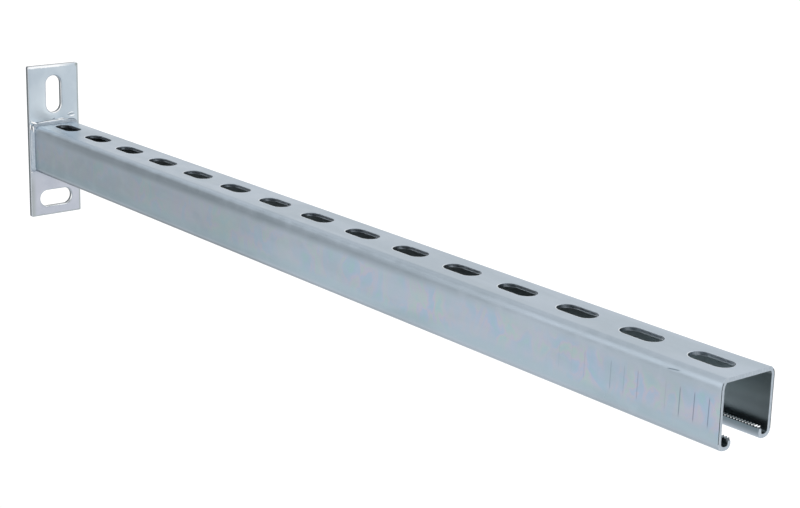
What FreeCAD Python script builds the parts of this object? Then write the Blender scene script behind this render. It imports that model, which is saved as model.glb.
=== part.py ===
import FreeCAD, Part
import math
import os

# Cantilever strut arm: a slotted, lipped channel welded square to a wall plate.
# Millimetres. The origin is the centre of the plate's wall face, +X runs out
# along the arm, +Z is up, and the open side of the channel faces down.

# Channel, roll-formed from one strip
arm_length = 750.0
arm_width = 41.3
arm_height = 41.3
sheet_thickness = 2.5
web_bend_radius = 3.5  # outside, between the web and each wall
lip_width = 9.4  # outer face of a wall to the inner face of its lip
lip_height = 7.6  # underside of the arm to the crests of the teeth
foot_bend_radius = 4.8  # outside, at the foot of each wall
lip_bend_radius = 3.8  # outside, at the foot of each lip

# Teeth along both lip edges
tooth_pitch = 2.0
tooth_depth = 0.9

# Punched row in the web
web_slot_length = 28.8
web_slot_width = 14.5
web_slot_pitch = 50.0
web_slot_start = 24.0  # plate to the first slot's centre

# Wall plate
plate_width = 48.0
plate_height = 132.0
plate_thickness = 4.0
plate_corner_radius = 1.2
plate_rise = 51.0  # web to the top edge of the plate
plate_slot_width = 14.2
upper_slot_length = 32.0
upper_slot_edge_distance = 25.5  # top edge of the plate to the slot's centre
lower_slot_length = 30.4
lower_slot_edge_distance = 15.0  # bottom edge of the plate to the slot's centre

# Fillet welds between the channel and the plate
weld_leg_on_arm = 2.6
weld_leg_on_plate = 2.8
weld_crown = 0.35  # how far the bead bulges past a straight line
weld_wrap_angle = 50.0  # degrees round the lower bend of each wall
weld_lump_radius = 1.9  # where two runs overlap on each upper corner

# Places worked out from the sizes above
arm_start = plate_thickness
arm_end = arm_start + arm_length
arm_top = plate_height / 2 - plate_rise
arm_bottom = arm_top - arm_height
half_arm = arm_width / 2
half_plate = plate_width / 2
cut_margin = 1.0  # how far a cutter runs past the faces it cuts

OUT = FreeCAD.Vector(1, 0, 0)
ACROSS = FreeCAD.Vector(0, 1, 0)
UP = FreeCAD.Vector(0, 0, 1)


def point(x, y, z):
    return FreeCAD.Vector(x, y, z)


def add_line(edges, start, end):
    """Add a straight edge, unless its ends meet."""
    if start.distanceToPoint(end) > 1e-6:
        edges.append(Part.LineSegment(start, end).toShape())


def rounded_path(corners, radii):
    """Edges through the corners, with a tangent arc at each inner one."""
    edges = []
    start = corners[0]
    for before, corner, after, radius in zip(corners, corners[1:], corners[2:], radii):
        back = (before - corner).normalize()
        ahead = (after - corner).normalize()
        half_angle = back.getAngle(ahead) / 2
        reach = radius / math.tan(half_angle)
        inward = (back + ahead).normalize()
        middle = corner + inward * (radius / math.sin(half_angle) - radius)
        end = corner + ahead * reach
        add_line(edges, start, corner + back * reach)
        edges.append(Part.Arc(corner + back * reach, middle, end).toShape())
        start = end
    add_line(edges, start, corners[-1])
    return edges


def slot_cutter(centre, along, across, length, width, depth):
    """A round-ended slot through the centre point, cut along both ways."""
    radius = width / 2
    half_run = (length - width) / 2
    axis = along.cross(across)
    ends = [centre + along * half_run, centre - along * half_run]
    edges = []
    for middle, way in zip(ends, (1, -1)):
        first = middle - across * (radius * way)
        tip = middle + along * (radius * way)
        last = middle + across * (radius * way)
        edges.append(Part.Arc(first, tip, last).toShape())
        opposite = ends[1] if way == 1 else ends[0]
        add_line(edges, last, opposite + across * (radius * way))
    face = Part.Face(Part.Wire(Part.__sortEdges__(edges)))
    face.translate(axis * (-depth / 2))
    return face.extrude(axis * depth)


def strip_line(inset, lip_end):
    """Corners of one side of the folded strip, inset from its outer side."""
    lip_y = half_arm - lip_width + inset
    wall_y = half_arm - inset
    foot = arm_bottom + inset
    crown = arm_top - inset
    half = [(lip_y, lip_end), (lip_y, foot), (wall_y, foot), (wall_y, crown)]
    mirrored = [(-y, z) for y, z in half]
    return [point(arm_start, y, z) for y, z in mirrored + half[::-1]]


def folded_strip():
    """The channel before its edges are toothed and its web is punched."""
    lip_end = arm_bottom + lip_bend_radius
    half = [lip_bend_radius, foot_bend_radius, web_bend_radius]
    sides = []
    for inset in (0.0, sheet_thickness):
        radii = [bend - inset for bend in half + half[::-1]]
        sides.append(rounded_path(strip_line(inset, lip_end), radii))
    edges = sides[0] + sides[1]
    for way in (-1, 1):
        lip_y = half_arm - lip_width
        inner = point(arm_start, way * lip_y, lip_end)
        outer = point(arm_start, way * (lip_y + sheet_thickness), lip_end)
        add_line(edges, inner, outer)
    section = Part.Face(Part.Wire(Part.__sortEdges__(edges)))
    return section.extrude(OUT * arm_length)


def toothed_edge(start_y):
    """The upright part of a lip, with V-notches across its edge."""
    foot = arm_bottom + lip_bend_radius
    crest = arm_bottom + lip_height
    notches = int(arm_length / tooth_pitch) - 1
    first = arm_start + (arm_length - notches * tooth_pitch) / 2
    outline = [point(arm_start, start_y, foot), point(arm_start, start_y, crest)]
    for number in range(notches):
        crest_x = first + number * tooth_pitch
        outline.append(point(crest_x, start_y, crest))
        outline.append(point(crest_x + tooth_pitch / 2, start_y, crest - tooth_depth))
    outline.append(point(first + notches * tooth_pitch, start_y, crest))
    outline.append(point(arm_end, start_y, crest))
    outline.append(point(arm_end, start_y, foot))
    outline.append(outline[0])
    return Part.Face(Part.makePolygon(outline)).extrude(ACROSS * sheet_thickness)


def web_slots():
    """Cutters for the row of slots along the web."""
    last = arm_length - web_slot_length / 2 - sheet_thickness
    count = int((last - web_slot_start) / web_slot_pitch) + 1
    centre_z = arm_top - sheet_thickness / 2
    depth = sheet_thickness + 2 * cut_margin
    cutters = []
    for number in range(count):
        x = arm_start + web_slot_start + number * web_slot_pitch
        centre = point(x, 0, centre_z)
        cutters.append(slot_cutter(centre, OUT, ACROSS, web_slot_length, web_slot_width, depth))
    return cutters


def strut_channel():
    lip_y = half_arm - lip_width
    channel = folded_strip().cut(web_slots())
    near_edge = toothed_edge(-lip_y - sheet_thickness)
    far_edge = toothed_edge(lip_y)
    return channel.fuse([near_edge, far_edge]).removeSplitter()


def back_plate():
    half_height = plate_height / 2
    corners = [(-half_plate, 0), (-half_plate, half_height), (half_plate, half_height)]
    corners += [(half_plate, -half_height), (-half_plate, -half_height), (-half_plate, 0)]
    path = [point(0, y, z) for y, z in corners]
    outline = rounded_path(path, [plate_corner_radius] * 4)
    plate = Part.Face(Part.Wire(Part.__sortEdges__(outline))).extrude(OUT * plate_thickness)
    depth = plate_thickness + 2 * cut_margin
    upper = point(plate_thickness / 2, 0, half_height - upper_slot_edge_distance)
    lower = point(plate_thickness / 2, 0, lower_slot_edge_distance - half_height)
    upright = slot_cutter(upper, UP, ACROSS, upper_slot_length, plate_slot_width, depth)
    level = slot_cutter(lower, ACROSS, UP, lower_slot_length, plate_slot_width, depth)
    return plate.cut([upright, level])


def bead_face(root, outward):
    """Cross-section of a bead, from its root in the corner out to both toes."""
    arm_toe = root + OUT * weld_leg_on_arm
    plate_toe = root + outward * weld_leg_on_plate
    bulge = (OUT * weld_leg_on_plate + outward * weld_leg_on_arm).normalize()
    crown = (arm_toe + plate_toe) * 0.5 + bulge * weld_crown
    edges = [
        Part.LineSegment(root, arm_toe).toShape(),
        Part.Arc(arm_toe, crown, plate_toe).toShape(),
        Part.LineSegment(plate_toe, root).toShape(),
    ]
    return Part.Face(Part.Wire(edges))


def bead():
    """One bead along the near wall, over the web and down the far wall."""
    wall_start = arm_bottom + foot_bend_radius
    bend_z = arm_top - web_bend_radius
    bend_y = half_arm - web_bend_radius
    pieces = [bead_face(point(arm_start, -bend_y, arm_top), UP).extrude(ACROSS * (2 * bend_y))]
    for way in (-1, 1):
        outward = ACROSS * way
        wall_root = point(arm_start, way * half_arm, wall_start)
        wall_face = bead_face(wall_root, outward)
        pieces.append(wall_face.extrude(UP * (bend_z - wall_start)))
        lower_bend = point(arm_start, way * (half_arm - foot_bend_radius), wall_start)
        pieces.append(wall_face.revolve(lower_bend, OUT, -way * weld_wrap_angle))
        upper_bend = point(arm_start, way * bend_y, bend_z)
        upper_face = bead_face(point(arm_start, way * half_arm, bend_z), outward)
        pieces.append(upper_face.revolve(upper_bend, OUT, way * 90))
        corner = upper_bend + (outward + UP).normalize() * (web_bend_radius + weld_leg_on_plate / 3)
        pieces.append(Part.makeSphere(weld_lump_radius, corner))
    return pieces[0].fuse(pieces[1:])


def welds():
    """The three runs, which meet on a mitre at each upper corner."""
    solid_bead = bead().cut([strut_channel_block(), back_plate()])
    reach = weld_leg_on_plate + weld_lump_radius + web_bend_radius
    bend_y = half_arm - web_bend_radius
    bend_z = arm_top - web_bend_radius
    roof = [(-bend_y, bend_z), (-bend_y - reach, bend_z + reach)]
    roof += [(bend_y + reach, bend_z + reach), (bend_y, bend_z), (-bend_y, bend_z)]
    mitre = Part.Face(Part.makePolygon([point(arm_start, y, z) for y, z in roof]))
    above = mitre.extrude(OUT * (weld_leg_on_arm + weld_lump_radius))
    top = solid_bead.common(above)
    sides = solid_bead.cut(above)
    left = [solid for solid in sides.Solids if solid.CenterOfMass.y < 0]
    right = [solid for solid in sides.Solids if solid.CenterOfMass.y > 0]
    return top, left[0], right[0]


def strut_channel_block():
    """The space inside the channel's outer faces, which no weld enters."""
    corners = [(0, arm_bottom), (half_arm, arm_bottom), (half_arm, arm_top)]
    corners += [(-half_arm, arm_top), (-half_arm, arm_bottom), (0, arm_bottom)]
    path = [point(arm_start, y, z) for y, z in corners]
    radii = [foot_bend_radius, web_bend_radius, web_bend_radius, foot_bend_radius]
    outline = rounded_path(path, radii)
    return Part.Face(Part.Wire(Part.__sortEdges__(outline))).extrude(OUT * arm_length)


def main():
    os.makedirs("parts", exist_ok=True)
    top_weld, left_weld, right_weld = welds()
    nodes = {
        "strut_channel": strut_channel(),
        "back_plate": back_plate(),
        "top_weld": top_weld,
        "left_weld": left_weld,
        "right_weld": right_weld,
    }
    for name, shape in nodes.items():
        print(name, len(shape.Solids), "solid", round(shape.Volume, 1), "mm3", shape.isValid())
        shape.exportStep(f"parts/{name}.step")


main()
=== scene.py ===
import math

import bmesh
import bpy
import numpy as np
from mathutils import Matrix, Vector
from mathutils.noise import noise as smooth_noise


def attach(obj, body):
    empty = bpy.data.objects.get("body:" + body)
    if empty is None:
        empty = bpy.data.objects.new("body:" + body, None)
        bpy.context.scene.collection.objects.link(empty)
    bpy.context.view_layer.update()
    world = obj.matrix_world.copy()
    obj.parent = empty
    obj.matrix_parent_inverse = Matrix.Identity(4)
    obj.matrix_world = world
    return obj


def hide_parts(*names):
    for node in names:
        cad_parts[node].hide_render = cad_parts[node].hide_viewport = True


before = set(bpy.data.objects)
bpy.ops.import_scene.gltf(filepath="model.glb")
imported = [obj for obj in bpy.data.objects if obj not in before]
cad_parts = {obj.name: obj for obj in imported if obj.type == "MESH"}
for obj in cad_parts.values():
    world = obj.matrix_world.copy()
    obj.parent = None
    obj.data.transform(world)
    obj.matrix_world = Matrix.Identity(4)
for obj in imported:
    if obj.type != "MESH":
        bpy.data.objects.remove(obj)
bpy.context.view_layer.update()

# Lengths are in millimetres up to the moment a mesh or an object is made.
MM = 0.001
MERGE_DISTANCE = 2e-6  # metres

# Channel, as in the CAD apart from the web's bends, which run out softly down the walls
ARM_START, ARM_END = 4.0, 754.0
ARM_TOP, ARM_BOTTOM = 15.0, -26.3
ARM_HEIGHT = 41.3
HALF_ARM = 20.65
SHEET = 2.5
FOOT_BEND, LIP_BEND = 4.8, 3.8
BEND_OVER = 4.4  # across the web
NEAR_BEND, FAR_BEND = (BEND_OVER, 7.0), (BEND_OVER, 5.2)  # across the web and down the wall
WEB_FLAT = HALF_ARM - BEND_OVER  # half the width of the flat between the bends
BESIDE_BEND = 0.35  # a narrow strip beside each bend keeps its shading off the flat
MID_WALL = -5.0
LIP_ROWS = (-22.2, -20.4)
LIP_INNER = 11.25  # half the width of the mouth
WEB_STEPS, FOOT_STEPS, LIP_STEPS = 10, 6, 5  # round each bend
MID_BEND, FOOT_COLUMN = 5, 14  # columns of a side: half-way round the web's bend, top of the foot's

# Teeth on both lips
TOOTH_CREST, TOOTH_VALLEY = -18.7, -19.6
TOOTH_SET_BACK = 0.75  # how far a valley lies behind the crests, seen from the mouth
TOOTH_FOOT = 0.08  # how far below the valleys the teeth begin
TOOTH_LEDGE = 0.04
LAST_FLANK = 0.65  # length of the last tooth's flank

# Slots in the web
SLOT_PITCH, FIRST_SLOT, SLOT_COUNT = 50.0, 28.0, 15
HALF_CELL = SLOT_PITCH / 2
SLOT_CENTRES = [FIRST_SLOT + SLOT_PITCH * n for n in range(SLOT_COUNT)]
SLOT_RADIUS, SLOT_HALF_RUN = 7.25, 7.15
SHORT_STEPS = 16  # along the short sides of the cell round each slot
RIM_ROUNDING = 0.22
# rings from the rim down: how far each lies outside the slot, and how far below the web's top
WEB_RIM = [(RIM_ROUNDING, 0.02), (0.55 * RIM_ROUNDING, 0.06), (0.2 * RIM_ROUNDING, 0.16)]
WEB_HOLE = [(0.0, 0.4), (0.0, 1.2), (0.06, 2.3), (0.2, SHEET)]

# Sawn end
SAWN_ROWS = (752.0, 752.5, 752.9, 753.3, 753.65, ARM_END)
FLARE, FLARE_LENGTH = 2.0, 60.0  # how far the far wall springs out
LEAN = 1.3  # how far the near lip leans the same way
SKEW, SKEW_LENGTH = 2.1, 14.0  # how far the saw ran back on the near side
RAGGED = 0.12

# Marks of handling on the near side
CREASE_X, CREASE_Z, CREASE_SLOPE = 719.0, 10.7, 0.12
MARK_PITCH = 10.0

# Plate, as in the CAD
HALF_PLATE, HALF_HEIGHT, PLATE = 24.0, 66.0, 4.0
PLATE_CORNER = 1.2
PLATE_EDGE = 0.4  # rounding of the sheared edges
PLATE_STEP = 1.5
PLATE_CUTS = (-36.0, 17.0)  # heights between which the plate has no slot
# centre, half run, radius, and whether it stands upright
LOWER_SLOT = ((0.0, -51.0), 8.1, 7.1, False)
UPPER_SLOT = ((0.0, 40.5), 8.9, 7.1, True)
# rings from the rim down: how far each lies outside the slot, and how far behind the front
PLATE_RIM = [(1.0, 0.0), (0.62, 0.1), (0.3, 0.34), (0.08, 0.7)]
PLATE_HOLE = [(0.0, 1.1), (0.0, 2.0), (0.05, 3.65), (0.25, 4.0)]

# Welds
BEAD_STEP, BEAD_POINTS = 0.4, 9  # step along a bead, points across it
BEAD_ON_ARM, BEAD_ON_PLATE = 2.35, 2.75
BEAD_FADE = 2.6  # length over which an end of a bead runs out
NO_FADE = 99.0
TOP_CORNER, FAR_CORNER = 125, 50  # degrees round the web's bends, where two beads meet
WRAP = 50  # degrees that a bead goes round the foot bend
STROKE_STEPS, LONG_STROKE_STEPS, STROKE_ROUND = 16, 60, 8

# Picture
PICTURE_WIDTH, PICTURE_HEIGHT = 800, 508

# Kinds of surface, which are the material indices of every piece
SHEET_FACE, CUT, INSIDE, RIM, TOOTH, SHADED = range(6)


class Shell:
    """Collects points in millimetres and faces, each with a kind of surface."""

    def __init__(self):
        self.points, self.faces, self.kinds = [], [], []

    def add_row(self, row):
        """Add points and return the number of the first."""
        start = len(self.points)
        self.points.extend(tuple(map(float, p)) for p in row)
        return start

    def loft(self, loops, kinds, closed=False):
        """Join loops of the same length with quads."""
        count = len(loops[0])
        starts = [self.add_row(loop) for loop in loops]
        if isinstance(kinds, int):
            kinds = [kinds] * (len(loops) - 1)
        last = count if closed else count - 1
        for a, b, kind in zip(starts, starts[1:], kinds):
            for i in range(last):
                j = (i + 1) % count
                self.faces.append((a + i, a + j, b + j, b + i))
                self.kinds.append(kind)

    def join(self, coarse, fine, kind):
        """Join a row along X with a finer one that has its stations and more."""
        a, b = self.add_row(coarse), self.add_row(fine)
        places = [int(np.argmin(np.abs(fine[:, 0] - x))) for x in coarse[:, 0]]
        for i, (low, high) in enumerate(zip(places, places[1:])):
            self.faces.append((a + i, a + i + 1, *(b + k for k in range(high, low - 1, -1))))
            self.kinds.append(kind)

    def make(self, name, materials, change=None, sharp=32.0):
        """A piece of these faces; edges that turn by more than `sharp` degrees stay crisp."""
        points = np.array(self.points)
        if change is not None:
            points = change(points)
        mesh = bpy.data.meshes.new(name)
        mesh.from_pydata((points * MM).tolist(), [], self.faces)
        mesh.polygons.foreach_set("material_index", self.kinds)
        bm = bmesh.new()
        bm.from_mesh(mesh)
        bmesh.ops.remove_doubles(bm, verts=bm.verts, dist=MERGE_DISTANCE)
        bmesh.ops.recalc_face_normals(bm, faces=bm.faces)
        bm.to_mesh(mesh)
        bm.free()
        mesh.polygons.foreach_set("use_smooth", [True] * len(mesh.polygons))
        mesh.set_sharp_from_angle(angle=math.radians(sharp))
        for material in materials:
            mesh.materials.append(material)
        piece = bpy.data.objects.new(name, mesh)
        bpy.context.scene.collection.objects.link(piece)
        return piece


def on_bend(centre, radii, angle):
    """The point of a bend at an angle in degrees, and the way out from it."""
    a = math.radians(angle)
    reach = (radii[0] * math.cos(a), radii[1] * math.sin(a))
    way = (reach[0] / radii[0] ** 2, reach[1] / radii[1] ** 2)
    size = math.hypot(*way)
    return centre[0] + reach[0], centre[1] + reach[1], way[0] / size, way[1] / size


def side_columns(web_bend):
    """Outer and inner points of one side of the channel, from the web down to the lip."""
    columns = []

    def bend(centre, radii, first, last, steps):
        for angle in np.linspace(first, last, steps + 1):
            y, z, way_y, way_z = on_bend(centre, radii, angle)
            columns.append(((y, z), (y - SHEET * way_y, z - SHEET * way_z)))

    wall_top, foot_top = ARM_TOP - web_bend[1], ARM_BOTTOM + FOOT_BEND
    bend((-WEB_FLAT, wall_top), web_bend, 90, 180, WEB_STEPS)
    for z in (wall_top - BESIDE_BEND, MID_WALL, foot_top + BESIDE_BEND):
        columns.append(((-HALF_ARM, z), (SHEET - HALF_ARM, z)))
    bend((FOOT_BEND - HALF_ARM, foot_top), (FOOT_BEND, FOOT_BEND), 180, 270, FOOT_STEPS)
    foot_flat = FOOT_BEND - HALF_ARM + BESIDE_BEND
    columns.append(((foot_flat, ARM_BOTTOM), (foot_flat, ARM_BOTTOM + SHEET)))
    lip_centre = (-LIP_INNER - LIP_BEND, ARM_BOTTOM + LIP_BEND)
    bend(lip_centre, (LIP_BEND, LIP_BEND), 270, 360, LIP_STEPS)
    for z in LIP_ROWS:
        columns.append(((-LIP_INNER, z), (-LIP_INNER - SHEET, z)))
    return columns


def stations(step):
    """Places along the arm: even steps, the edges of the slots' cells, and rows by the sawn end."""
    places = set(np.arange(ARM_START, ARM_END - 1, step).tolist())
    places.update(centre + HALF_CELL for centre in SLOT_CENTRES[:-1])
    places.update(SAWN_ROWS)
    return np.array(sorted(places))


def tooth_depth(x):
    """0 on the crests, which are at odd millimetres, and 1 in the valleys."""
    depth = np.where(x <= ARM_START + 1, 0.0, np.abs(x % 2 - 1))
    return np.where(x >= ARM_END - 1, np.clip((x - ARM_END + 1) / LAST_FLANK, 0, 1), depth)


def sawn_inset(x):
    """How far the outside is rolled over at the sawn edge."""
    return np.interp(x, SAWN_ROWS[-3:], [0, 0.05, 0.2])


def add_side(shell, way):
    """One wall with its lip, joined to the web by shared places."""
    coarse, fine = stations(2.0), stations(1.0)
    below_web = ARM_TOP - 0.6

    def row(xs, y, z, inset=(0.0, 0.0)):
        depth = sawn_inset(xs) * (z < below_web)
        return np.column_stack([xs, way * (y + inset[0] * depth), z + inset[1] * depth])

    outer, inner = [], []
    for (oy, oz), (iy, iz) in side_columns(NEAR_BEND if way == 1 else FAR_BEND):
        towards = ((iy - oy) / SHEET, (iz - oz) / SHEET)
        outer.append(row(coarse, oy, oz, towards))
        inner.append(row(coarse, iy, iz))
    shell.loft(outer, SHEET_FACE)
    shell.loft(inner, INSIDE)

    depth = tooth_depth(fine)
    crest = TOOTH_CREST - (TOOTH_CREST - TOOTH_VALLEY) * depth
    mouth = -LIP_INNER - TOOTH_SET_BACK * depth
    back = -LIP_INNER - SHEET
    base = np.full(len(fine), TOOTH_VALLEY - TOOTH_FOOT)
    ledge = row(fine, -LIP_INNER, base - TOOTH_LEDGE)
    back_low = row(fine, back, base)
    shell.join(outer[-1], ledge, SHEET_FACE)
    shell.join(inner[-1], back_low, INSIDE)
    teeth = [ledge, row(fine, mouth, base), row(fine, mouth, crest), row(fine, back, crest)]
    shell.loft(teeth, [SHADED, TOOTH, TOOTH])
    shell.loft([teeth[-1], back_low], INSIDE)

    for end in (0, -1):
        outside = [loop[end] for loop in outer] + [loop[end] for loop in teeth[:3]]
        inside = [loop[end] for loop in inner] + [back_low[end], back_low[end], teeth[3][end]]
        outside, inside = np.array(outside), np.array(inside)
        between = 0.74 * outside + 0.26 * inside
        parts = [
            (slice(0, MID_BEND + 1), CUT),
            (slice(MID_BEND, FOOT_COLUMN + 1), SHADED if end else CUT),
            (slice(FOOT_COLUMN, None), CUT),
        ]
        for part, kind in parts:
            shell.loft([outside[part], between[part], inside[part]], [kind, CUT])


def stadium(xs, offset):
    """Points round a slot that match the points round its cell, in the same order."""
    radius = SLOT_RADIUS + offset
    points = []

    def on_arc(sign, angle):
        a = math.radians(angle)
        points.append((sign * SLOT_HALF_RUN + radius * math.cos(a), radius * math.sin(a)))

    def long_side(places, y_sign):
        for x in places:
            if abs(x) <= SLOT_HALF_RUN:
                points.append((x, y_sign * radius))
                continue
            edge = xs[-1] if x > 0 else -xs[0]
            t = (abs(x) - SLOT_HALF_RUN) / (edge - SLOT_HALF_RUN)
            on_arc(math.copysign(1, x), 90 * y_sign - math.copysign(45 * t, x) * y_sign)

    def short_side(sign, first):
        for k in range(1, SHORT_STEPS):
            on_arc(sign, first + 90 * k / SHORT_STEPS)

    long_side(xs, -1)
    short_side(1, -45)
    long_side(xs[::-1], 1)
    short_side(-1, 135)
    return np.array(points)


def cell_edge(xs):
    """Points round a slot's cell, from the near corner by the plate."""
    ys = np.linspace(-WEB_FLAT, WEB_FLAT, SHORT_STEPS + 1)
    points = [(x, -WEB_FLAT) for x in xs]
    points += [(xs[-1], y) for y in ys[1:-1]]
    points += [(x, WEB_FLAT) for x in xs[::-1]]
    points += [(xs[0], y) for y in ys[-2:0:-1]]
    return np.array(points)


def add_web(shell):
    """The punched web: one cell round each slot, rounded over at the upper rim."""
    places = stations(2.0)
    for number, centre in enumerate(SLOT_CENTRES):
        low = ARM_START if number == 0 else centre - HALF_CELL
        high = ARM_END if number == SLOT_COUNT - 1 else centre + HALF_CELL
        xs = places[(places >= low) & (places <= high)] - centre
        edge = cell_edge(xs)

        def ring(offset, depth, share=0.0):
            flat = stadium(xs, offset) * (1 - share) + edge * share
            heights = np.full(len(flat), ARM_TOP - depth)
            return np.column_stack([flat[:, 0] + centre, flat[:, 1], heights])

        loops = [ring(RIM_ROUNDING + 0.45, 0, t) for t in (1, 0.97, 0.65, 0.35, 0.06, 0)]
        loops += [ring(*place) for place in WEB_RIM + WEB_HOLE]
        loops += [ring(*WEB_HOLE[-1], t) for t in (0.3, 0.65, 1)]
        kinds = [SHEET_FACE] * 5 + [RIM] * 3 + [CUT] * 4 + [INSIDE] * 3
        shell.loft(loops, kinds, closed=True)
    ys = np.linspace(-WEB_FLAT, WEB_FLAT, SHORT_STEPS + 1)
    for x in (ARM_START, ARM_END):
        outer = np.array([(x, y, ARM_TOP) for y in ys])
        inner = np.array([(x, y, ARM_TOP - SHEET) for y in ys])
        shell.loft([outer, inner], CUT)


def settle_channel(points):
    """Waves along the rolled bends, the crease, and the sprung, skewed and ragged sawn end."""
    out = points.copy()
    x, y, z = points.T
    across = np.abs(y)

    round_bend = np.clip((across - WEB_FLAT) / BEND_OVER, 0, 1) * np.clip((z - 3) / 8, 0, 1)
    wave = 0.06 * np.cos(2 * math.pi * (x - FIRST_SLOT) / SLOT_PITCH)
    wave = wave + 0.025 * np.sin(x / 6.1) * np.sin(x / 17.0)
    out[:, 1] += np.minimum(wave, 0.0) * round_bend * np.sign(y) * 0.8
    out[:, 2] -= np.abs(wave) * round_bend * 0.35 * (z > 8)

    along = x - CREASE_X
    crease = np.exp(-(along / 3.4) ** 2)
    crease = crease * np.exp(-((z - CREASE_Z - CREASE_SLOPE * along) / 0.8) ** 2)
    out[:, 1] += 0.16 * crease * (y < -17)

    # the far wall springs out, and both lips go the same way
    spread = np.clip((x - ARM_END + FLARE_LENGTH) / FLARE_LENGTH, 0, 1) ** 2
    on_lip = z < -16
    far_lip = 0.62 + 0.38 * np.clip((y - 14) / 6, 0, 1)
    reach = np.where(on_lip & (y > 0), far_lip, np.clip((y - 11) / 6, 0, 1))
    out[:, 1] += FLARE * spread * (0.5 + 0.5 * (ARM_TOP - z) / ARM_HEIGHT) * reach
    near_lip = spread * np.clip((y + 19.5) / 6, 0, 1) * (on_lip & (y < 0))
    out[:, 1] += LEAN * near_lip
    out[:, 2] -= 0.7 * LEAN * near_lip * np.clip((z + 24.5) / 5, 0, 1)

    # the corners of both lips are rounded
    tip = np.clip((x - SAWN_ROWS[2]) / 0.8, 0, 1) * np.clip((z + 21.6) / 2.0, 0, 1) ** 2
    tip = tip * (z < -19) * (across < 14.5)
    middle = LIP_INNER + SHEET / 2
    out[:, 1] += tip * 0.75 * (middle - across) / (SHEET / 2) * np.sign(y)
    out[:, 2] -= 0.45 * tip

    # the saw ran back on the near side, and left a ragged edge
    blend = np.clip((x - ARM_END + SKEW_LENGTH) / SKEW_LENGTH, 0, 1)
    height = 0.5 + 0.5 * (z - ARM_BOTTOM) / ARM_HEIGHT
    out[:, 0] -= SKEW * blend * (HALF_ARM - y) / (2 * HALF_ARM) * height
    for i in np.flatnonzero(x > ARM_END - 0.01):
        out[i, 0] -= RAGGED * abs(smooth_noise(Vector((y[i] * 0.9, z[i] * 0.9, 3.0))))
    return out


def make_channel(materials):
    """The rolled channel: two sides and the punched web."""
    shell = Shell()
    for way in (1, -1):
        add_side(shell, way)
    add_web(shell)
    return shell.make("strut_channel_rolled", materials, settle_channel)


def finely(low, high, step):
    """Places from low to high, closer together at both rounded ends."""
    fine = [low, low + 0.4, low + 0.8]
    inner = np.linspace(low + 1.2, high - 1.2, int(round((high - low - 2.4) / step)) + 1)
    return np.array(fine + list(inner) + [high - 0.8, high - 0.4, high])


def rounded(points, inset):
    """Pull a rectangle's points in by the inset and round its corners."""
    y = np.clip(points[:, 0], inset - HALF_PLATE, HALF_PLATE - inset)
    z = np.clip(points[:, 1], inset - HALF_HEIGHT, HALF_HEIGHT - inset)
    cy, cz = HALF_PLATE - PLATE_CORNER, HALF_HEIGHT - PLATE_CORNER
    dy, dz = np.abs(y) - cy, np.abs(z) - cz
    in_corner = (dy > 0) & (dz > 0)
    reach = np.hypot(dy, dz)
    scale = np.where(in_corner, np.maximum(dy, dz) / np.maximum(reach, 1e-9), 1.0)
    y = np.where(in_corner, np.sign(y) * (cy + dy * scale), y)
    z = np.where(in_corner, np.sign(z) * (cz + dz * scale), z)
    return np.column_stack([y, z])


def frame_points(ys, zs):
    """Points round a rectangle of the grid, in order."""
    points = [(y, zs[0]) for y in ys] + [(ys[-1], z) for z in zs[1:-1]]
    points += [(y, zs[-1]) for y in ys[::-1]] + [(ys[0], z) for z in zs[-2:0:-1]]
    return np.array(points)


def slot_points(edge, centre, half_run, radius, upright):
    """Points round a slot, each facing its point on the rectangle round it."""
    d = edge - np.array(centre)
    along, across = (d[:, 1], d[:, 0]) if upright else (d[:, 0], d[:, 1])
    spread_along, spread_across = np.abs(along).max(), np.abs(across).max()
    widening = spread_across / max(spread_along - half_run, 1e-6)
    points = []
    for a, c in zip(along, across):
        if abs(a) <= half_run and abs(c) > 0.999 * spread_across:
            p = (a, math.copysign(radius, c))
        else:
            over = math.copysign(max(abs(a) - half_run, 0.0) * widening, a)
            angle = math.atan2(c, over)
            end = math.copysign(half_run, a)
            p = (end + radius * math.cos(angle), radius * math.sin(angle))
        points.append(p[::-1] if upright else p)
    return np.array(points) + np.array(centre)


def settle_plate(points):
    """A small ding low on the plate's front face."""
    out = points.copy()
    x, y, z = points.T
    ding = np.exp(-((y + 14.6) / 1.3) ** 2 - ((z + 63.0) / 1.1) ** 2)
    out[:, 0] -= 0.8 * ding * (x > PLATE - 0.5)
    return out


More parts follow.
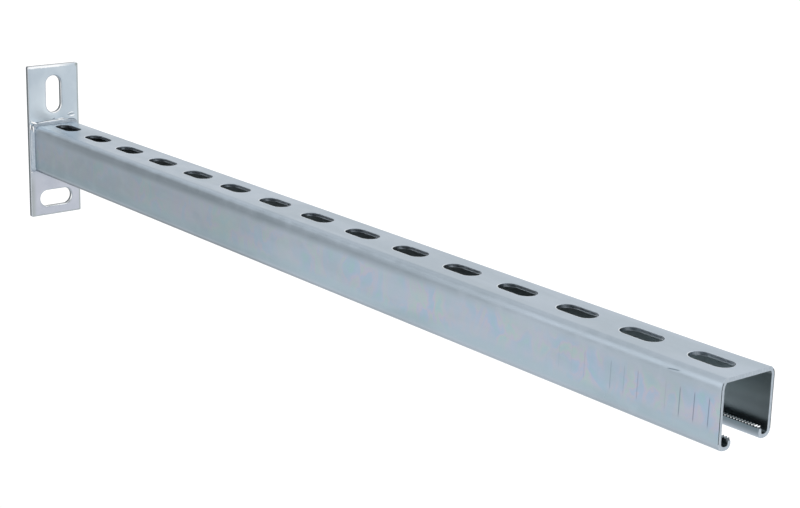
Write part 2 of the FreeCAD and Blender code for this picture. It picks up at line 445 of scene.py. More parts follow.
def make_plate(materials):
    """The sheared plate: a part round each slot, the band between them, and the edges."""
    shell = Shell()
    ys = finely(-HALF_PLATE, HALF_PLATE, PLATE_STEP)
    all_z = finely(-HALF_HEIGHT, HALF_HEIGHT, PLATE_STEP)
    low_cut, high_cut = [int(np.argmin(np.abs(all_z - cut_z))) for cut_z in PLATE_CUTS]

    def at(flat, x, inset):
        placed = rounded(flat, inset)
        return np.column_stack([np.full(len(placed), x), placed])

    def add_round_slot(zs, centre, half_run, radius, upright):
        edge = frame_points(ys, zs)

        def ring(offset, depth, share=0.0):
            inner = slot_points(edge, centre, half_run, radius + offset, upright)
            flat = inner * (1 - share) + rounded(edge, PLATE_EDGE) * share
            return np.column_stack([np.full(len(flat), PLATE - depth), flat])

        loops = [ring(1.1, 0.0, t) for t in (1, 0.8, 0.6, 0.4, 0.2)]
        loops += [ring(*place) for place in PLATE_RIM + PLATE_HOLE]
        loops += [ring(*PLATE_HOLE[-1], t) for t in (0.35, 0.7, 1)]
        kinds = [SHEET_FACE] * 5 + [RIM] * 4 + [CUT] * 4 + [INSIDE] * 2
        shell.loft(loops, kinds, closed=True)

    add_round_slot(all_z[: low_cut + 1], *LOWER_SLOT)
    band = [np.array([(y, z) for y in ys]) for z in all_z[low_cut : high_cut + 1]]
    for x, kind in ((PLATE, SHEET_FACE), (0.0, INSIDE)):
        shell.loft([at(line, x, PLATE_EDGE) for line in band], kind)
    add_round_slot(all_z[high_cut:], *UPPER_SLOT)

    edge = frame_points(ys, all_z)
    turns = [math.radians(angle) for angle in (90, 67.5, 45, 22.5, 0)]
    over = [(PLATE_EDGE * (1 - math.sin(a)), PLATE_EDGE * (1 - math.cos(a))) for a in turns]
    loops = [at(edge, PLATE - depth, inset) for depth, inset in over]
    loops.append(at(edge, PLATE / 2, 0.0))
    loops += [at(edge, depth, inset) for depth, inset in over[::-1]]
    shell.loft(loops, [RIM] * 4 + [CUT] * 6, closed=True)
    return shell.make("wall_plate_sheared", materials, settle_plate)


def outline_run(first, last):
    """Roots of a bead on the channel's outline, with the way out from each.

    The outline starts at the near foot bend, climbs the near wall, crosses the
    web and goes down the far wall. Its marks are the distances at which beads
    begin and finish."""
    pieces = []

    def add_bend(centre, radii, a, b):
        length = abs(math.radians(b - a)) * sum(radii) / 2
        pieces.append((length, lambda t: on_bend(centre, radii, a + (b - a) * t)))

    def add_line(p, q, way):
        pieces.append((math.dist(p, q),
                       lambda t: (p[0] + (q[0] - p[0]) * t, p[1] + (q[1] - p[1]) * t, *way)))

    def so_far():
        return sum(length for length, _ in pieces)

    def place_at(s):
        for length, place in pieces[:-1]:
            if s <= length + 1e-9:
                return place(min(s / length, 1.0))
            s -= length
        length, place = pieces[-1]
        return place(min(s / length, 1.0))

    foot_y, foot_z = FOOT_BEND - HALF_ARM, ARM_BOTTOM + FOOT_BEND
    foot = (FOOT_BEND, FOOT_BEND)
    near_z, far_z = ARM_TOP - NEAR_BEND[1], ARM_TOP - FAR_BEND[1]
    marks = {"start": 0.0}
    add_bend((foot_y, foot_z), foot, 180 + WRAP, 180)
    add_line((-HALF_ARM, foot_z), (-HALF_ARM, near_z), (-1, 0))
    add_bend((-WEB_FLAT, near_z), NEAR_BEND, 180, TOP_CORNER)
    marks["corner"] = so_far()
    add_bend((-WEB_FLAT, near_z), NEAR_BEND, TOP_CORNER, 90)
    add_line((-WEB_FLAT, ARM_TOP), (WEB_FLAT, ARM_TOP), (0, 1))
    add_bend((WEB_FLAT, far_z), FAR_BEND, 90, FAR_CORNER)
    marks["far_corner"] = so_far()
    add_bend((WEB_FLAT, far_z), FAR_BEND, FAR_CORNER, 0)
    add_line((HALF_ARM, far_z), (HALF_ARM, foot_z), (1, 0))
    add_bend((-foot_y, foot_z), foot, 0, -WRAP)
    marks["end"] = so_far()
    begin, finish = marks[first], marks[last]
    run = np.linspace(begin, finish, int((finish - begin) / BEAD_STEP) + 2)
    return [(s, *place_at(s)) for s in run], marks


def make_bead(name, first, last, lumps, materials, fade):
    """One nearly flat fillet run, whose toes wander a little and whose face carries ripples.

    Each lump is a place along the outline, a width, and how much it adds to the
    bulge and to the legs. The fade says which ends run out."""
    shell = Shell()
    roots, marks = outline_run(first, last)
    begin, finish = marks[first], marks[last]
    loops = []
    for s, y, z, ny, nz in roots:
        rough = smooth_noise(Vector((s * 0.3, 3.1, 0.0)))
        leg_arm = BEAD_ON_ARM + 0.3 * rough
        leg_plate = BEAD_ON_PLATE + 0.25 * smooth_noise(Vector((s * 0.35, 0.0, 9.2)))
        bulge = 0.02 + 0.05 * rough
        for place, width, height, spread in lumps:
            amount = math.exp(-(((s - place) / width) ** 2))
            bulge += height * amount
            leg_arm += spread * amount
            leg_plate += spread * 0.3 * amount
        ends = [s - begin if fade[0] else NO_FADE, finish - s if fade[1] else NO_FADE]
        taper = math.sqrt(max(0.0, min(1.0, min(ends) / BEAD_FADE)))
        leg_arm, leg_plate, bulge = leg_arm * taper, leg_plate * taper, bulge * taper
        diagonal = math.hypot(leg_arm, leg_plate) or 1.0
        out_x, out_n = leg_plate / diagonal, leg_arm / diagonal
        loop = [(ARM_START + leg_arm, -0.25)]
        for k in range(BEAD_POINTS + 1):
            u = k / BEAD_POINTS
            ripple = 0.008 * taper * math.sin(2 * math.pi * (s + 1.6 * (u - 0.5) ** 2) / 2.4)
            ridge = 0.20 * taper * math.exp(-(((u - 0.70) / 0.2) ** 2))
            swell = (bulge + ripple) * math.sin(math.pi * u) + ridge
            from_plate = leg_arm * (1 - u) + out_x * swell
            loop.append((ARM_START + from_plate, leg_plate * u + out_n * swell))
        loop.append((ARM_START - 0.2, leg_plate))
        loops.append([(x, y + ny * n, z + nz * n) for x, n in loop])
    shell.loft(loops, SHEET_FACE)
    return shell.make(name, materials, sharp=70)


def make_ridge(name, path, width, height, materials, steps):
    """A low, round-backed stroke along points on the plate's front: weld metal, spatter, or a
    painted highlight or painted shade.

    Each point of the path is (x, y, z); the stroke fades out at both ends."""
    shell = Shell()
    path = np.array(path, float)
    lengths = np.concatenate([[0], np.cumsum(np.linalg.norm(np.diff(path, axis=0), axis=1))])

    def place_at(s):
        return np.array([np.interp(s, lengths, path[:, k]) for k in range(3)])

    loops = []
    for t in np.linspace(0, 1, steps + 1):
        s = t * lengths[-1]
        middle = place_at(s)
        before, after = [place_at(np.clip(s + d, 0, lengths[-1])) for d in (-0.3, 0.3)]
        along = (after - before) / np.linalg.norm(after - before)
        side = np.cross((1.0, 0.0, 0.0), along)
        side /= np.linalg.norm(side)
        full = max(0.05, math.sin(math.pi * min(max(t, 0.02), 0.98)) ** 0.5)
        wobble = 1 + 0.15 * math.sin(5 * s + middle[1])
        loop = []
        for k in range(STROKE_ROUND + 1):
            a = math.pi * k / STROKE_ROUND
            rise = np.array((height * full * math.sin(a), 0, 0))
            loop.append(middle + side * (width * full * wobble * math.cos(a)) + rise)
        loops.append(loop)
    shell.loft(loops, SHEET_FACE)
    return shell.make(name, materials, sharp=80)


def tone(red, green, blue):
    """Linear colour of an 8-bit display colour."""
    def linear(v):
        v /= 255
        return v / 12.92 if v <= 0.04045 else ((v + 0.055) / 1.055) ** 2.4
    return (linear(red), linear(green), linear(blue), 1.0)


class Tree:
    """Short calls for a node tree."""

    def __init__(self, tree):
        self.tree = tree

    def set(self, node, key, value):
        if isinstance(value, bpy.types.NodeSocket):
            self.tree.links.new(value, node.inputs[key])
        else:
            node.inputs[key].default_value = value

    def node(self, kind, inputs=(), **props):
        made = self.tree.nodes.new(kind)
        for key, value in props.items():
            setattr(made, key, value)
        for key, value in dict(inputs).items():
            self.set(made, key, value)
        return made

    def math(self, operation, *values, clamp=False):
        inputs = dict(enumerate(values))
        return self.node("ShaderNodeMath", inputs, operation=operation, use_clamp=clamp).outputs[0]

    def add(self, first, second):
        return self.math("ADD", first, second)

    def less(self, first, second):
        return self.math("SUBTRACT", first, second)

    def size(self, value):
        return self.math("ABSOLUTE", value)

    def product(self, *values):
        total = values[0]
        for value in values[1:]:
            total = self.math("MULTIPLY", total, value)
        return total

    def largest(self, *values):
        total = values[0]
        for value in values[1:]:
            total = self.math("MAXIMUM", total, value)
        return total

    def step(self, value, low, high, to_low=0.0, to_high=1.0):
        """From to_low to to_high, smoothly, while the value goes from low to high."""
        inputs = {0: value, 1: low, 2: high, 3: to_low, 4: to_high}
        return self.node("ShaderNodeMapRange", inputs, interpolation_type="SMOOTHSTEP").outputs[0]

    def band(self, value, start, full, still, end):
        """1 from full to still, and down to 0 at start and at end."""
        return self.product(self.step(value, start, full), self.step(value, end, still))

    def noise(self, vector, scale, detail=2.0, rough=0.5, warp=0.0):
        inputs = {"Vector": vector, "Scale": scale, "Detail": detail,
                  "Roughness": rough, "Distortion": warp}
        return self.node("ShaderNodeTexNoise", inputs).outputs["Fac"]

    def stretch(self, vector, x, y, z, shift=(0.0, 0.0, 0.0)):
        inputs = {"Vector": vector, "Scale": (x, y, z), "Location": shift}
        return self.node("ShaderNodeMapping", inputs).outputs[0]

    def mix(self, share, first, second, blend="MIX"):
        made = self.node("ShaderNodeMix", data_type="RGBA", blend_type=blend)
        for key, value in ((0, share), (6, first), (7, second)):
            self.set(made, key, value)
        return made.outputs[2]

    def tint(self, share, colour, red, green, blue):
        """The colour, multiplied by the tint where the share is 1."""
        return self.mix(share, colour, (red, green, blue, 1.0), "MULTIPLY")

    def grey(self, value):
        return self.node("ShaderNodeCombineColor", {0: value, 1: value, 2: value}).outputs[0]

    def ramp(self, value, stops):
        made = self.node("ShaderNodeValToRGB", {0: value})
        elements = made.color_ramp.elements
        while len(elements) < len(stops):
            elements.new(0.5)
        for element, (place, colour) in zip(elements, stops):
            element.position, element.color = place, colour
        return made.outputs[0]


def new_material(name):
    """An empty material and its tree."""
    material = bpy.data.materials.new(name)
    material.use_nodes = True
    material.node_tree.nodes.clear()
    return material, Tree(material.node_tree)


def finish_material(t, colour, rough, bump_height, bump_depth):
    """Close a tree with a metal surface and a bump whose depth is in millimetres."""
    bump_inputs = {"Height": bump_height, "Distance": bump_depth * MM, "Strength": 1.0}
    bump = t.node("ShaderNodeBump", bump_inputs)
    surface = t.node("ShaderNodeBsdfPrincipled", {
        "Base Color": colour, "Metallic": 1.0, "Roughness": rough, "Normal": bump.outputs[0]})
    out = t.node("ShaderNodeOutputMaterial")
    t.tree.links.new(surface.outputs[0], out.inputs["Surface"])


def place_in_mm(t):
    """Coordinates of the surface in the row frame, in millimetres, and its direction."""
    coordinates = t.node("ShaderNodeTexCoord")
    scaled = t.node("ShaderNodeVectorMath", {0: coordinates.outputs["Object"], 3: 1 / MM},
                    operation="SCALE")
    apart = t.node("ShaderNodeSeparateXYZ", {0: scaled.outputs[0]})
    facing = t.node("ShaderNodeSeparateXYZ", {0: coordinates.outputs["Normal"]})
    return scaled.outputs[0], apart.outputs, facing.outputs


def cloudy_zinc(t, place, base, pale, deep):
    """Base colour of bright zinc, with long clouds and small paler blotches."""
    clouds = t.noise(t.stretch(place, 0.011, 0.045, 0.045), 1.0, 3.0, 0.55, 0.4)
    blotches = t.noise(t.stretch(place, 0.09, 0.09, 0.09, (7.0, 3.0, 1.0)), 1.0, 4.0, 0.6)
    colour = t.mix(t.step(clouds, 0.36, 0.66), deep, base)
    return t.mix(t.product(t.step(blotches, 0.45, 0.75), 0.45), colour, pale), blotches


def blotchy_roughness(t, blotches, rough):
    """Roughness that follows the blotches."""
    return t.step(blotches, 0.3, 0.75, rough - 0.05, rough + 0.06)


def filmed(t, colour, place, x, z, ny):
    """Faint colours of the clear film, in patches at mid-height of the walls."""
    side = t.step(t.size(ny), 0.8, 0.98)
    patches = t.noise(t.stretch(place, 0.075, 0.02, 0.05, (0.0, 0.0, 4.0)), 1.0, 3.0, 0.55, 0.7)
    hues = t.ramp(patches, [
        (0.28, tone(150, 200, 200)), (0.38, tone(160, 192, 214)), (0.45, tone(172, 190, 218)),
        (0.51, tone(196, 188, 208)), (0.57, tone(182, 200, 196)), (0.68, tone(158, 200, 204))])
    where = t.noise(t.stretch(place, 0.03, 0.0, 0.04, (3.0, 0.0, 1.0)), 1.0, 2.0)
    strength = t.product(side, t.band(z, -21.0, -12.0, 1.0, 9.0), t.step(x, 20.0, 380.0, 0.7, 1.0),
                         t.step(where, 0.36, 0.6, 0.25, 1.0), t.step(x, 350.0, 560.0, 0.42, 0.6))
    colour = t.mix(strength, colour, hues)
    greener = t.product(side, t.band(z, -23.0, -20.0, -17.5, -12.5), 0.5)
    return t.tint(greener, colour, 0.86, 1.0, 0.99)


def upright_marks(t, place, x, z, near_side):
    """Where the near wall carries upright marks at an even pitch, towards the free end."""
    cell = t.math("FRACT", t.math("DIVIDE", x, MARK_PITCH))
    away = t.product(t.size(t.less(cell, 0.5)), MARK_PITCH)
    wander = t.noise(t.stretch(place, 0.06, 0.0, 0.0, (2.0, 5.0, 0.0)), 1.0, 1.0)
    chosen = t.largest(t.step(wander, 0.42, 0.56), t.step(x, 715.0, 720.0))
    return t.product(t.step(away, 0.5, 0.12), t.band(z, -15.5, -12.0, 1.0, 3.6), near_side, chosen,
                     t.step(x, 610.0, 668.0))


def crease_painted_shade(t, x, z, near_side):
    """Where painted shade darkens the short crease under the near bend."""
    along = t.less(x, CREASE_X)
    above = t.less(z, t.add(CREASE_Z, t.product(along, CREASE_SLOPE)))
    return t.product(t.step(t.size(above), 0.5, 0.1), t.step(t.size(along), 5.2, 2.4), near_side)


def painted_light_on_bends(t, colour, x, y, z, nz):
    """Painted shade and painted highlights: darker in the mouth, on the foot bends, down the upper
    walls, by the plate and low on the web's bends towards the free end; brighter on the web's
    bends and where the web starts by the plate.
    """
    across = t.size(y)
    # painted shade in the mouth of the lips
    mouth = t.product(t.step(across, 14.5, 12.5), t.band(z, -26.5, -20.5, -18.5, -16.0))
    colour = t.tint(mouth, colour, 0.44, 0.46, 0.46)
    # painted shade on the foot bends
    foot = t.product(t.band(nz, -0.99, -0.85, -0.55, -0.15), t.step(across, 15.0, 16.0),
                     t.step(x, 620.0, 200.0, 0.3, 1.0))
    colour = t.tint(foot, colour, 0.55, 0.56, 0.58)
    # painted highlight on the web's bends
    shoulder_painted_highlight = t.product(t.band(nz, 0.36, 0.52, 0.58, 0.92), t.step(x, 720.0, 180.0), 0.68)
    colour = t.mix(shoulder_painted_highlight, colour, tone(212, 227, 241))
    # painted shade down the upper walls
    upper_wall_painted_shade = t.product(t.step(z, 3.5, 8.5), t.step(nz, 0.5, 0.25),
                           t.band(x, 0.0, 100.0, 420.0, 620.0))
    colour = t.tint(upper_wall_painted_shade, colour, 0.76, 0.77, 0.77)
    # painted shade by the plate
    by_plate_painted_shade = t.product(t.step(x, 440.0, 230.0), t.step(nz, 0.7, 0.45))
    colour = t.tint(by_plate_painted_shade, colour, 0.81, 0.815, 0.81)
    # painted shade that dims the lower part of the web's bends towards the free end
    low_bend_painted_dimming = t.product(t.band(nz, 0.08, 0.3, 0.40, 0.62), t.step(x, 480.0, 600.0))
    colour = t.tint(low_bend_painted_dimming, colour, 0.90, 0.90, 0.90)
    # painted highlight where the web starts by the plate
    web_start_painted_highlight = t.product(t.step(nz, 0.75, 0.95), t.step(x, 60.0, 20.0), 0.35)
    return t.mix(web_start_painted_highlight, colour, tone(222, 232, 238))


def zinc_walls(name, base, pale, deep, rough):
    """Zinc on the outside of the rolled channel: rolling lines, film, marks, painted shade in the
    crease, and painted shade and painted highlights on the lips, bends and web.
    """
    material, t = new_material(name)
    place, (x, y, z), (_, ny, nz) = place_in_mm(t)
    colour, blotches = cloudy_zinc(t, place, base, pale, deep)
    colour = filmed(t, colour, place, x, z, ny)
    near_side = t.step(ny, -0.8, -0.98)
    marks = upright_marks(t, place, x, z, near_side)
    crease = crease_painted_shade(t, x, z, near_side)
    dark_marks = t.product(marks, t.step(x, 700.0, 722.0, 0.36, 0.66))
    colour = t.mix(dark_marks, colour, tone(112, 122, 142))
    # painted shade in the crease
    colour = t.mix(t.product(crease, 0.7), colour, tone(84, 98, 110))
    colour = painted_light_on_bends(t, colour, x, y, z, nz)

    lines = t.noise(t.stretch(place, 0.004, 1.1, 1.1), 1.0, 3.0, 0.6)
    roughness = t.add(blotchy_roughness(t, blotches, rough), t.product(t.less(lines, 0.5), 0.10))
    grain = t.noise(place, 2.6, 3.0, 0.6)
    relief = t.add(t.product(grain, 0.35), t.product(lines, 0.55))
    relief = t.less(relief, t.product(t.largest(marks, crease), 1.6))
    finish_material(t, colour, roughness, relief, 0.012)
    return material


def zinc_inside_painted_shade(name, base, pale, deep, rough):
    """Zinc inside the channel, with painted shade: darkest by the plate, palest a little before the
    open end, and darker again low down there."""
    material, t = new_material(name)
    place, (x, _, z), _ = place_in_mm(t)
    colour, _ = cloudy_zinc(t, place, base, pale, deep)
    # painted shade along the inside of the channel
    painted_shade_levels = [(0.03, 0.06), (0.10, 0.22), (0.30, 0.46), (0.55, 0.36), (0.77, 0.30),
              (0.90, 0.85), (0.96, 0.95), (1.0, 0.54)]
    stops = [(along, (level, level, level, 1.0)) for along, level in painted_shade_levels]
    colour = t.mix(1.0, colour, t.ramp(t.math("DIVIDE", x, ARM_END), stops), "MULTIPLY")
    # painted shade low down by the open end
    low = t.product(t.step(z, -3.0, -10.0), t.step(x, 690.0, 720.0))
    colour = t.tint(low, colour, 0.7, 0.7, 0.71)
    finish_material(t, colour, rough, t.noise(place, 2.2, 3.0, 0.6), 0.008)
    return material


def zinc_plate(name, base, pale, deep, rough, low_tint):
    """Zinc on the plate, tinted on its lower part, with painted shade and painted highlights along
    its edges, painted shade inside the channel and painted light above the web.
    """
    material, t = new_material(name)
    place, (x, y, z), (nx, _, _) = place_in_mm(t)
    colour, blotches = cloudy_zinc(t, place, base, pale, deep)
    colour = t.tint(t.step(z, -8.0, -36.0), colour, *low_tint)
    front = t.step(x, 3.0, 3.6)
    uneven = t.product(t.less(t.noise(place, 0.6, 2.0, 0.6), 0.5), 1.6)
    height = t.add(z, uneven)

    # painted shade along the right and lower edges and in the upper right corner, and darker low on
    # the left
    right = t.product(t.step(y, 22.0, 23.0), 0.75)
    bottom = t.product(t.step(height, -64.6, -65.4), 0.8)
    top_right = t.product(t.step(t.add(y, uneven), 20.0, 22.5), t.step(z, 61.5, 64.5))
    low_left = t.product(t.step(y, -18.5, -22.5), t.step(z, -20.0, -45.0), 0.6)
    painted_shade_and_dark_patch = t.product(t.largest(right, bottom, top_right, low_left), front)
    colour = t.mix(painted_shade_and_dark_patch, colour, tone(158, 166, 164))

    # painted shade inside the channel, painted light above the web, painted highlight on the rolled
    # upper edge
    boxed_painted_shade = t.product(t.step(t.size(y), 18.8, 17.6), t.band(z, -26.0, -23.0, 12.0, 13.2), front)
    colour = t.tint(boxed_painted_shade, colour, 0.3, 0.3, 0.31)
    painted_light_above_web = t.product(t.band(z, 14.0, 18.0, 24.0, 58.0), t.step(y, 10.0, -4.0), front, 0.8)
    colour = t.mix(painted_light_above_web, colour, tone(228, 237, 243))
    # painted highlight along the rolled upper edge of the front
    rolled = t.product(t.step(height, 63.6, 64.5), t.step(nx, 0.6, 0.9), t.step(y, 21.0, 2.0))
    colour = t.mix(rolled, colour, tone(253, 254, 255))
    roughness = blotchy_roughness(t, blotches, rough)
    finish_material(t, colour, roughness, t.noise(place, 2.2, 3.0, 0.6), 0.008)
    return material


def zinc_cut(name, base, deep, rough, tear, depth, torn=None):
    """Sawn, sheared or punched edges: a matt band with fine tear lines.

    A torn tone is for the plate, whose edges are smooth near the front and torn
    behind. Without one, faces that look out along the arm carry painted shade,
    apart from the sawn end."""
    material, t = new_material(name)
    place, (x, _, _), (nx, _, _) = place_in_mm(t)
    tears = t.noise(t.stretch(place, *tear), 1.0, 3.0, 0.6)
    patches = t.noise(place, 0.5, 3.0, 0.6)
    colour = t.mix(t.step(tears, 0.35, 0.7), deep, base)
    if torn:
        behind = t.step(t.add(x, t.product(t.less(patches, 0.5), 1.2)), 3.3, 2.6)
        colour = t.mix(behind, colour, torn)
    else:
        # painted shade on faces that look out along the arm
        inner = t.product(t.step(nx, 0.1, 0.6), t.step(x, 751.0, 748.0))
        colour = t.tint(inner, colour, 0.55, 0.56, 0.57)
    roughness = t.step(patches, 0.3, 0.75, rough - 0.08, rough + 0.08)
    finish_material(t, colour, roughness, t.add(tears, t.product(patches, 0.5)), depth)
    return material


def finish_polished(t, place, colour):
    """Close a tree with the smoother metal of worn rims and teeth."""
    finish_material(t, colour, 0.32, t.noise(place, 0.3, 2.0), 0.005)


def zinc_rim_painted_highlight(name, base, painted_glint, way, low, high):
    """The rounded rim of a slot, with a painted highlight where the surface faces one way."""
    material, t = new_material(name)
    place, _, facing = place_in_mm(t)
    parts = [t.product(part, share) for part, share in zip(facing, way) if share]
    aim = parts[0]
    for part in parts[1:]:
        aim = t.add(aim, part)
    finish_polished(t, place, t.mix(t.step(aim, low, high), base, painted_glint))
    return material


def zinc_teeth_painted_light(name, valley, crest):
    """Zinc on the teeth: a painted highlight on the crests and painted shade between them."""
    material, t = new_material(name)
    place, (_, _, z), _ = place_in_mm(t)
    # painted highlight on the crests, painted shade in the valleys
    worn = t.step(z, TOOTH_CREST - 0.66, TOOTH_CREST - 0.44)
    finish_polished(t, place, t.mix(worn, valley, crest))
    return material


def zinc_weld(name, deep, base, rough, above=None):
    """Zinc over the weld and its spatter: glossier than the sheet, with soft patches.

    A level given as `above` paints shade on the faces that look up."""
    material, t = new_material(name)
    place, _, (_, _, nz) = place_in_mm(t)
    patches = t.noise(place, 0.3, 2.0, 0.5, 0.4)
    colour = t.mix(t.step(patches, 0.35, 0.7), deep, base)
    if above:
        # painted shade on faces that look up
        colour = t.tint(t.step(nz, 0.2, 0.6), colour, above, above, above)
    roughness = t.step(patches, 0.3, 0.7, rough - 0.04, rough + 0.06)
    finish_material(t, colour, roughness, patches, 0.01)
    return material


def make_world():
    """A pale studio: grey low on the wall side, slightly grey overhead, the same for every ray."""
    world = bpy.data.worlds.new("studio")
    bpy.context.scene.world = world
    world.use_nodes = True
    world.node_tree.nodes.clear()
    t = Tree(world.node_tree)
    direction = t.node("ShaderNodeTexCoord").outputs["Generated"]

    def towards(x, y, z):
        inputs = {0: direction, 1: Vector((x, y, z)).normalized()}
        return t.node("ShaderNodeVectorMath", inputs, operation="DOT_PRODUCT").outputs["Value"]

    grey_wall = t.step(towards(-0.87, -0.42, 0.25), 0.88, 0.995, 0.0, 0.42)
    grey_above = t.step(towards(-0.70, 0.0, 0.70), 0.60, 0.95, 0.0, 0.12)
    value = t.math("SUBTRACT", t.less(0.98, grey_wall), grey_above, clamp=True)
    shade = t.node("ShaderNodeBackground", {"Color": t.grey(value), "Strength": 1.0})
    out = t.node("ShaderNodeOutputWorld")
    t.tree.links.new(shade.outputs[0], out.inputs["Surface"])


def make_floor(height, half_size):
    """A plain pale floor far below the arm: white behind and to the right, pale grey in front."""
    mesh = bpy.data.meshes.new("studio_floor")
    corners = [(-half_size, -half_size), (half_size, -half_size),
               (half_size, half_size), (-half_size, half_size)]
    mesh.from_pydata([(x, y, height) for x, y in corners], [], [(0, 1, 2, 3)])
    floor = bpy.data.objects.new("studio_floor", mesh)
    bpy.context.scene.collection.objects.link(floor)
    material, t = new_material("floor_paint")
    place = t.node("ShaderNodeTexCoord").outputs["Object"]
    x, y, _ = t.node("ShaderNodeSeparateXYZ", {0: place}).outputs
    white = t.largest(t.step(y, 0.05, 0.5), t.step(x, 0.6, 1.5))
    front = t.step(x, -2.25, -1.4, 0.62, 0.84)
    colour = t.grey(t.add(front, t.product(white, t.less(1.0, front))))
    body = t.node("ShaderNodeBsdfDiffuse", {"Color": t.tint(1.0, colour, 0.84, 0.84, 0.84)})

    # a lift that only what is looked at, mirrored or seen through gets, a little more to the eye
    path = t.node("ShaderNodeLightPath").outputs
    mirrored = t.largest(path["Is Glossy Ray"], path["Is Transmission Ray"])
    seen = t.largest(path["Is Camera Ray"], mirrored)
    strength = t.add(t.product(seen, 0.25), t.product(path["Is Camera Ray"], 0.09))
    lift = t.node("ShaderNodeEmission", {"Color": colour, "Strength": strength})
    both = t.node("ShaderNodeAddShader", {0: body.outputs[0], 1: lift.outputs[0]})
    out = t.node("ShaderNodeOutputMaterial")
    t.tree.links.new(both.outputs[0], out.inputs["Surface"])
    mesh.materials.append(material)


def make_softbox(name, place, aim, size, power):
    """A rectangular lamp at a place in metres, turned towards another."""
    light = bpy.data.lights.new(name, "AREA")
    light.shape = "RECTANGLE"
    light.size, light.size_y = size
    light.energy = power
    lamp = bpy.data.objects.new(name, light)
    lamp.location = place
    lamp.rotation_euler = (Vector(aim) - Vector(place)).to_track_quat("-Z", "Y").to_euler()
    bpy.context.scene.collection.objects.link(lamp)


def make_camera():
    """The photograph's viewpoint, from a fit to the slots, the long edges and the plate.

    Focal length and centre are in pixels of the picture, angles in radians."""
    focal, centre_x, centre_y = 1647.2333, 368.2197, 240.3560
    azimuth, elevation, roll = 0.878796, 0.278023, 0.028147
    across, up_shift, distance = -35.32996, -3.47767, 1154.5765
    aim = Vector((379, 0, -5))
    flat = math.cos(elevation)
    back = Vector((math.sin(azimuth) * flat, -math.cos(azimuth) * flat, math.sin(elevation)))
    level = Vector((math.cos(azimuth), math.sin(azimuth), 0))
    right = level * math.cos(roll) + back.cross(level) * math.sin(roll)
    up = back.cross(right)
    place = aim + back * distance - right * across - up * up_shift
    data = bpy.data.cameras.new("photo_camera")
    data.sensor_width = 36.0
    data.lens = focal * data.sensor_width / PICTURE_WIDTH
    data.shift_x = (PICTURE_WIDTH / 2 - centre_x) / PICTURE_WIDTH
    data.shift_y = (centre_y - PICTURE_HEIGHT / 2) / PICTURE_WIDTH
    data.clip_start, data.clip_end = 0.01, 50.0
    camera = bpy.data.objects.new("photo_camera", data)
    turn = Matrix((right, up, back)).transposed().to_4x4()
    camera.matrix_world = Matrix.Translation(place * MM) @ turn
    bpy.context.scene.collection.objects.link(camera)
    bpy.context.scene.camera = camera


sheet = zinc_walls("zinc_channel", base=tone(182, 194, 206), pale=tone(190, 201, 212),
                   deep=tone(172, 185, 196), rough=0.34)
inside = zinc_inside_painted_shade("zinc_inside_painted_shade", base=tone(171, 186, 191), pale=tone(182, 197, 202),
                     deep=tone(158, 173, 179), rough=0.42)
cut = zinc_cut("zinc_cut_edge", base=tone(182, 191, 200), deep=tone(166, 177, 187), rough=0.4,
               tear=(1.2, 1.2, 0.4), depth=0.03)
sheared = zinc_cut("zinc_sheared_edge", base=tone(182, 190, 198), deep=tone(168, 178, 186),
                   rough=0.36, tear=(0.3, 1.2, 1.2), depth=0.03, torn=tone(112, 119, 125))
# rims of smoother zinc with painted highlights
rim = zinc_rim_painted_highlight("zinc_rim_painted_highlight", base=tone(182, 193, 204), painted_glint=tone(220, 227, 233),
               way=(0.0, 1.0, 0.0), low=-0.05, high=0.1)
plate_rim = zinc_rim_painted_highlight("zinc_plate_rim_painted_highlight", base=tone(172, 181, 190), painted_glint=tone(252, 254, 255),
                     way=(0.0, -0.5, 0.87), low=0.2, high=0.6)
tooth = zinc_teeth_painted_light("zinc_teeth_painted_light", valley=tone(96, 104, 110), crest=tone(253, 254, 255))
shaded = zinc_cut("zinc_shaded_edge", base=tone(72, 80, 86), deep=tone(62, 70, 76), rough=0.45,
                  tear=(0.8, 0.8, 0.8), depth=0.01)
plate_face = zinc_plate("zinc_plate", base=tone(194, 205, 214), pale=tone(202, 212, 220),
                        deep=tone(186, 198, 208), rough=0.40, low_tint=(0.97, 0.90, 0.92))
# weld zinc with painted shade on its faces that look up
weld = zinc_weld("zinc_weld", deep=tone(166, 178, 190), base=tone(182, 193, 204), rough=0.34,
                 above=0.68)
# dark skin: painted shade beside the bright strokes
painted_shade_skin = zinc_weld("zinc_painted_shade_skin", deep=tone(104, 114, 124), base=tone(118, 128, 138), rough=0.45)
# near-white skin: painted highlights on the strokes
spatter = zinc_weld("zinc_spatter_painted_highlight", deep=tone(252, 254, 255), base=tone(255, 255, 255), rough=0.36)

channel = make_channel([sheet, cut, inside, rim, tooth, shaded])
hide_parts("strut_channel")
plate = make_plate([plate_face, sheared, plate_face, plate_rim])
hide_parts("back_plate")

_, run = outline_run("start", "end")
corner, far_corner = run["corner"], run["far_corner"]
left_lumps = [(corner - 1.5, 1.3, 0.3, 0.5), (2.5, 2.2, 0.1, 0.6)]
top_lumps = [(corner + 1.2, 1.4, 0.3, 0.4), (far_corner - 1.5, 2.5, 0.02, 0.1)]
right_lumps = [(far_corner + 1.5, 2.5, 0.05, 0.1)]
beads = {
    "top_weld": make_bead("top_weld_bead", "corner", "far_corner", top_lumps, [weld],
                          fade=(False, False)),
    "left_weld": make_bead("left_weld_bead", "start", "corner", left_lumps, [weld],
                           fade=(True, False)),
    "right_weld": make_bead("right_weld_bead", "far_corner", "end", right_lumps, [weld],
                            fade=(False, True)),
}
for node, bead in beads.items():
    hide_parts(node)
    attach(bead, "root")
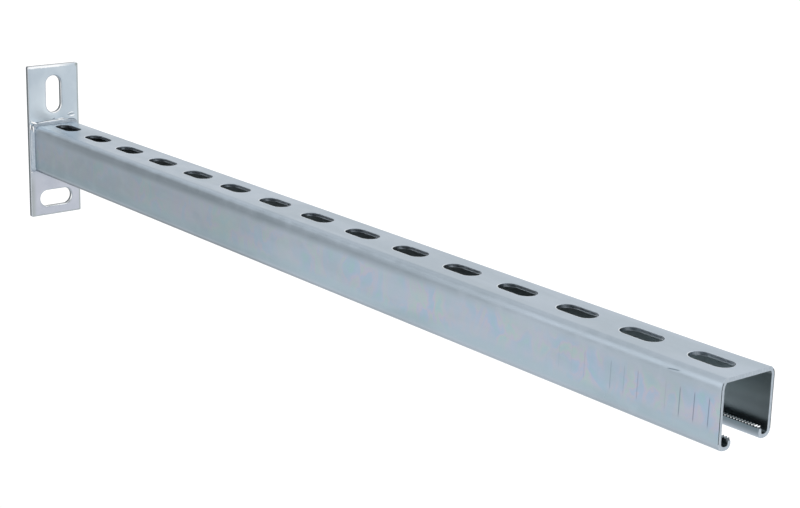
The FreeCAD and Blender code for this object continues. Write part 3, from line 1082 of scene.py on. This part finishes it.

# Strokes of weld metal on the upper near corner and spatter on the plate, near white to paint their
#  highlights, and two low strokes along the near and top beads that are painted highlight lines;
#  after them, dark strokes of painted shade. Each has a path, half its width and its height.
strokes = [
    ([(4.4, -23.0, 18.6), (5.0, -20.6, 17.4), (5.7, -17.4, 16.2)], 0.9, 0.7),
    ([(4.5, -23.3, 16.4), (4.5, -23.1, 13.8), (4.5, -22.8, 11.0)], 0.75, 0.65),
    ([(5.7, -21.8, 15.0), (5.9, -21.3, 12.4), (5.9, -21.1, 9.4)], 0.75, 0.65),
    ([(4.0, -22.3, 19.6), (4.0, -21.4, 19.0)], 0.4, 0.6),
    ([(4.0, 2.6, 18.2), (4.0, 5.8, 18.5), (4.0, 9.4, 18.3)], 0.5, 0.7),
    ([(4.0, 14.0, 19.5), (4.0, 17.0, 19.8), (4.0, 20.0, 20.3)], 0.5, 0.6),
    ([(4.0, 13.0, 21.8), (4.0, 16.6, 23.0), (4.0, 19.0, 22.9)], 0.32, 0.4),
    ([(4.0, -23.2, -26.6), (4.0, -22.8, -25.6)], 0.45, 0.4),
    ([(5.0, -17.0, 16.7), (5.0, -8.0, 17.2), (4.9, 3.0, 17.4), (4.8, 13.0, 17.6)], 0.5, 0.26),
    ([(5.1, -22.7, 9.0), (5.1, -22.8, -4.0), (5.1, -22.8, -17.0)], 0.28, 0.16),
]
painted_shade_strokes = [
    ([(4.0, -23.85, 18.6), (4.0, -23.8, 14.0), (4.0, -23.7, 11.0)], 0.16, 0.2),
    ([(5.2, -22.6, 15.9), (5.2, -22.4, 13.4), (5.2, -22.1, 10.6)], 0.28, 0.6),
    ([(4.0, 12.6, 20.9), (4.0, 16.4, 21.6), (4.0, 19.6, 21.6)], 0.3, 0.2),
    ([(4.0, -2.0, 18.9), (4.0, 1.0, 19.2)], 0.28, 0.2),
]
for number, (path, width, height) in enumerate(strokes + painted_shade_strokes, 1):
    skin = spatter if number <= len(strokes) else painted_shade_skin
    steps = LONG_STROKE_STEPS if len(path) > 3 else STROKE_STEPS
    stroke = make_ridge(f"weld_stroke_{number}", path, width, height, [skin], steps)
    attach(stroke, "root")
for piece in (channel, plate):
    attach(piece, "root")

make_world()
make_floor(height=-0.62, half_size=12.0)
make_softbox("softbox_behind", place=(1.6, 1.1, 1.25), aim=(0.2, 0.0, 0.0), size=(1.0, 1.0),
             power=3.3)
make_softbox("softbox_front", place=(-0.30, -1.80, 0.60), aim=(0.75, 0.0, 0.0), size=(1.4, 1.0),
             power=2.8)
make_camera()

bpy.context.scene.view_settings.view_transform = "Standard"
